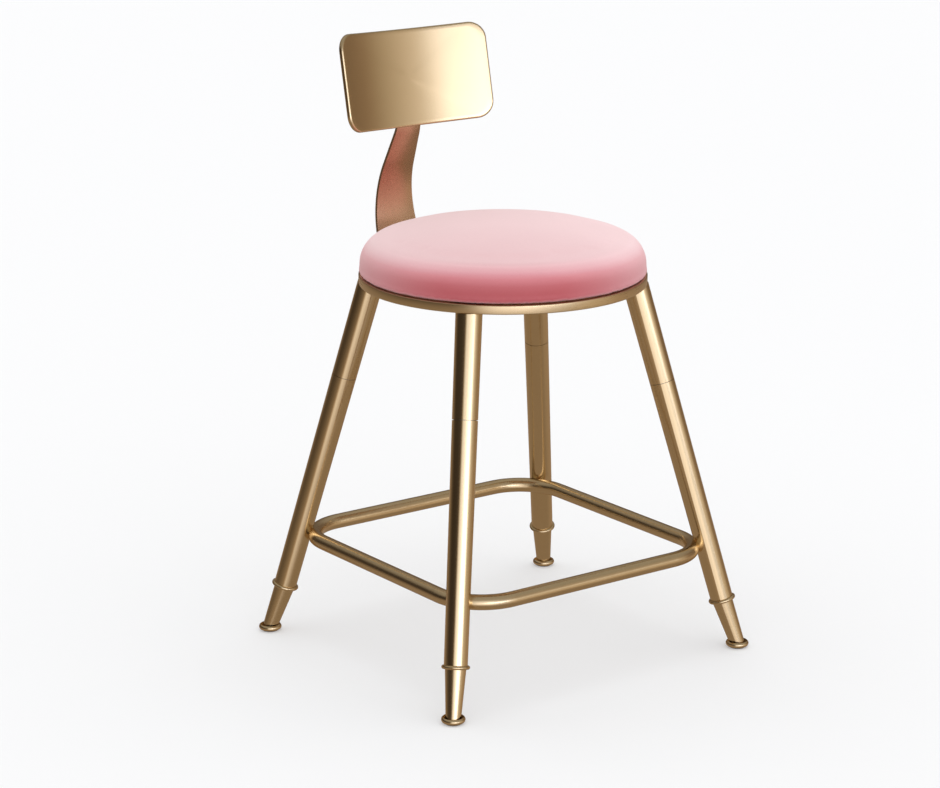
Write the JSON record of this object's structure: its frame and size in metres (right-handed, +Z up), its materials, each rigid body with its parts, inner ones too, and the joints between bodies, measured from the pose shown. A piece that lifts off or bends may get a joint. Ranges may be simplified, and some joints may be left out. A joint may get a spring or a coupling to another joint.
{
  "type": "stool with low back",
  "caption": "Round padded stool with a low curved metal back on a bent post, splayed tube legs, a square foot ring and self-levelling feet.",
  "frame": {"origin": "centre of the whole stool's bounding box, on the floor", "axes": "+Z up; the sitter faces -Y, so the back stands at +Y; +X is to the right of somebody who looks at the front"},
  "size_m": [0.4504, 0.4312, 0.7225],
  "materials": {
    "velvet": "short pile velvet, dusty pink",
    "foam": "cut foam",
    "plywood": "bare plywood",
    "brass_frame": "brushed, lacquered",
    "brass_feet": "brushed, lacquered",
    "brass_post": "brushed, lacquered",
    "brass_plate": "satin, lacquered",
    "dark_rail": "matt dark paint",
    "fastener_steel": "plated",
    "nylon": "matt"
  },
  "bodies": {
    "stool": {"cushion_cover": "velvet", "seat_foam": "foam", "seat_board": "plywood", "seat_hoop": "brass_frame", "rail_front": "dark_rail", "rail_rear": "dark_rail", "seat_screws": "fastener_steel", "back_post": "brass_post", "post_bolts": "fastener_steel", "back_plate": "brass_plate", "plate_screws": "fastener_steel", "foot_ring": "brass_frame", "leg_upper_front_left": "brass_frame", "leg_upper_front_right": "brass_frame", "leg_upper_rear_left": "brass_frame", "leg_upper_rear_right": "brass_frame", "leg_sleeve_front_left": "fastener_steel", "leg_sleeve_front_right": "fastener_steel", "leg_sleeve_rear_left": "fastener_steel", "leg_sleeve_rear_right": "fastener_steel", "leg_lower_front_left": "brass_frame", "leg_lower_front_right": "brass_frame", "leg_lower_rear_left": "brass_frame", "leg_lower_rear_right": "brass_frame", "collar_front_left": "brass_feet", "collar_front_right": "brass_feet", "collar_rear_left": "brass_feet", "collar_rear_right": "brass_feet", "ferrule_front_left": "brass_feet", "ferrule_front_right": "brass_feet", "ferrule_rear_left": "brass_feet", "ferrule_rear_right": "brass_feet", "ball_stud_front_left": "fastener_steel", "ball_stud_front_right": "fastener_steel", "ball_stud_rear_left": "fastener_steel", "ball_stud_rear_right": "fastener_steel"},
    "foot_front_left": {"glide_front_left": "brass_feet", "glide_pad_front_left": "nylon"},
    "foot_front_right": {"glide_front_right": "brass_feet", "glide_pad_front_right": "nylon"},
    "foot_rear_left": {"glide_rear_left": "brass_feet", "glide_pad_rear_left": "nylon"},
    "foot_rear_right": {"glide_rear_right": "brass_feet", "glide_pad_rear_right": "nylon"}
  },
  "joints": [
    {"name": "foot_tilt_front_left", "type": "hinge", "parent": "stool", "child": "foot_front_left", "pos_m": [-0.21138, -0.20177, 0.005], "axis": [0.7191, -0.6949, 0], "range_deg": [-6, 6]},
    {"name": "foot_tilt_front_right", "type": "hinge", "parent": "stool", "child": "foot_front_right", "pos_m": [0.21138, -0.20177, 0.005], "axis": [0.7191, 0.6949, 0], "range_deg": [-6, 6]},
    {"name": "foot_tilt_rear_left", "type": "hinge", "parent": "stool", "child": "foot_rear_left", "pos_m": [-0.21138, 0.18111, 0.005], "axis": [-0.7191, -0.6949, 0], "range_deg": [-6, 6]},
    {"name": "foot_tilt_rear_right", "type": "hinge", "parent": "stool", "child": "foot_rear_right", "pos_m": [0.21138, 0.18111, 0.005], "axis": [-0.7191, 0.6949, 0], "range_deg": [-6, 6]}
  ]
}
